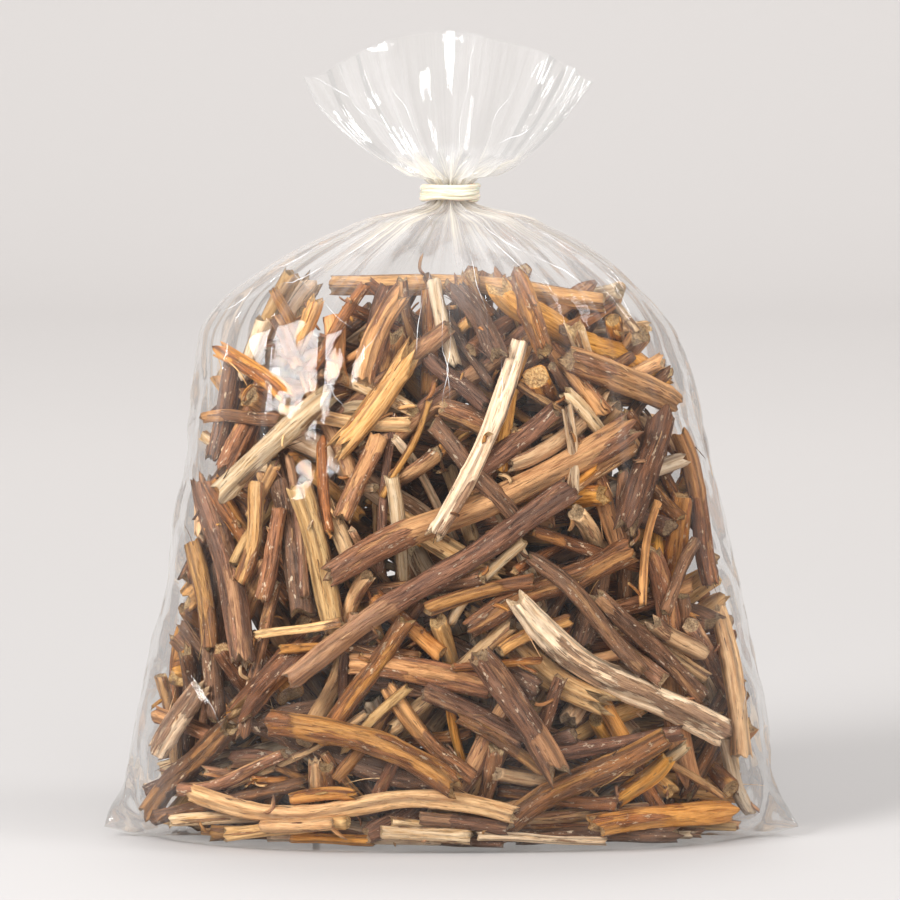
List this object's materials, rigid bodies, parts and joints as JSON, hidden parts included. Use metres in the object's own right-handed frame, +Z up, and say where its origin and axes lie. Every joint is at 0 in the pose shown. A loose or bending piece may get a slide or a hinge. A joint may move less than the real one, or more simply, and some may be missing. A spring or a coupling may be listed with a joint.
{
  "type": "bagged dried houttuynia root",
  "caption": "Cut lengths of dried houttuynia root heaped in a clear film bag that stands on its flat base, gathered at the neck and closed with a wound band.",
  "frame": {"origin": "on the floor under the middle of the bag's overall box", "axes": "+Z up, from the flat base to the fan above the neck; +X along the bag's width, to the right as seen from the front; the front of the bag faces -Y"},
  "size_m": [0.139, 0.065, 0.163],
  "materials": {
    "film": "clear, thin, glossy",
    "band": "cream, soft sheen",
    "umber": "dry dark brown bark, wrinkled lengthwise",
    "russet": "dry red-brown bark, wrinkled lengthwise",
    "amber": "peeled golden brown wood with bark left in streaks",
    "straw": "peeled straw-coloured wood, fibrous",
    "bone": "peeled pale wood with grey-brown bark at the ends"
  },
  "bodies": {
    "root": {"film_bag": "film", "neck_band": "band", "root_long_amber": "amber", "root_long_striped": "russet", "root_bone_right": "bone", "root_bone_upper_left": "bone", "root_knotty_grey": "bone", "root_bone_centre": "bone", "root_left_tall": "russet", "root_left_dark": "umber", "root_straw_front": "straw", "root_straw_back": "straw", "root_straw_mid": "straw", "root_right_mid": "russet", "root_torn_mid": "straw", "root_upper_right": "russet", "root_right_upright": "umber", "root_right_thin": "russet", "root_low_right": "russet", "root_low_wavy": "straw", "root_amber_arch": "amber", "root_corner_root": "umber", "root_grey_knot": "umber", "root_dark_bow": "umber", "root_low_left_bone": "bone", "root_dark_mid": "umber", "root_small_upright": "amber", "root_band_mid": "russet", "root_band_low": "russet", "root_right_long": "russet", "root_right_dark": "umber", "root_edge_right_high": "russet", "root_edge_right_low": "straw", "root_floor_right": "amber", "root_top_amber": "amber", "root_top_straw": "straw", "root_upper_band": "bone", "root_upper_long": "russet", "root_left_top_knob": "amber", "root_left_top_dark": "umber", "root_left_top_russet": "russet", "root_left_slant": "umber", "root_left_edge_amber": "amber", "root_left_low_bone": "bone", "root_top_right_amber": "amber", "root_top_mid_umber": "umber", "root_tangle_01": "russet", "root_tangle_02": "amber", "root_tangle_03": "umber", "root_tangle_04": "straw", "root_tangle_05": "russet", "root_tangle_06": "amber", "root_tangle_07": "umber", "root_tangle_08": "straw", "root_tangle_09": "russet", "root_tangle_10": "amber", "root_tangle_11": "umber", "root_tangle_12": "straw", "root_tangle_13": "russet", "root_tangle_14": "amber"}
  },
  "joints": []
}
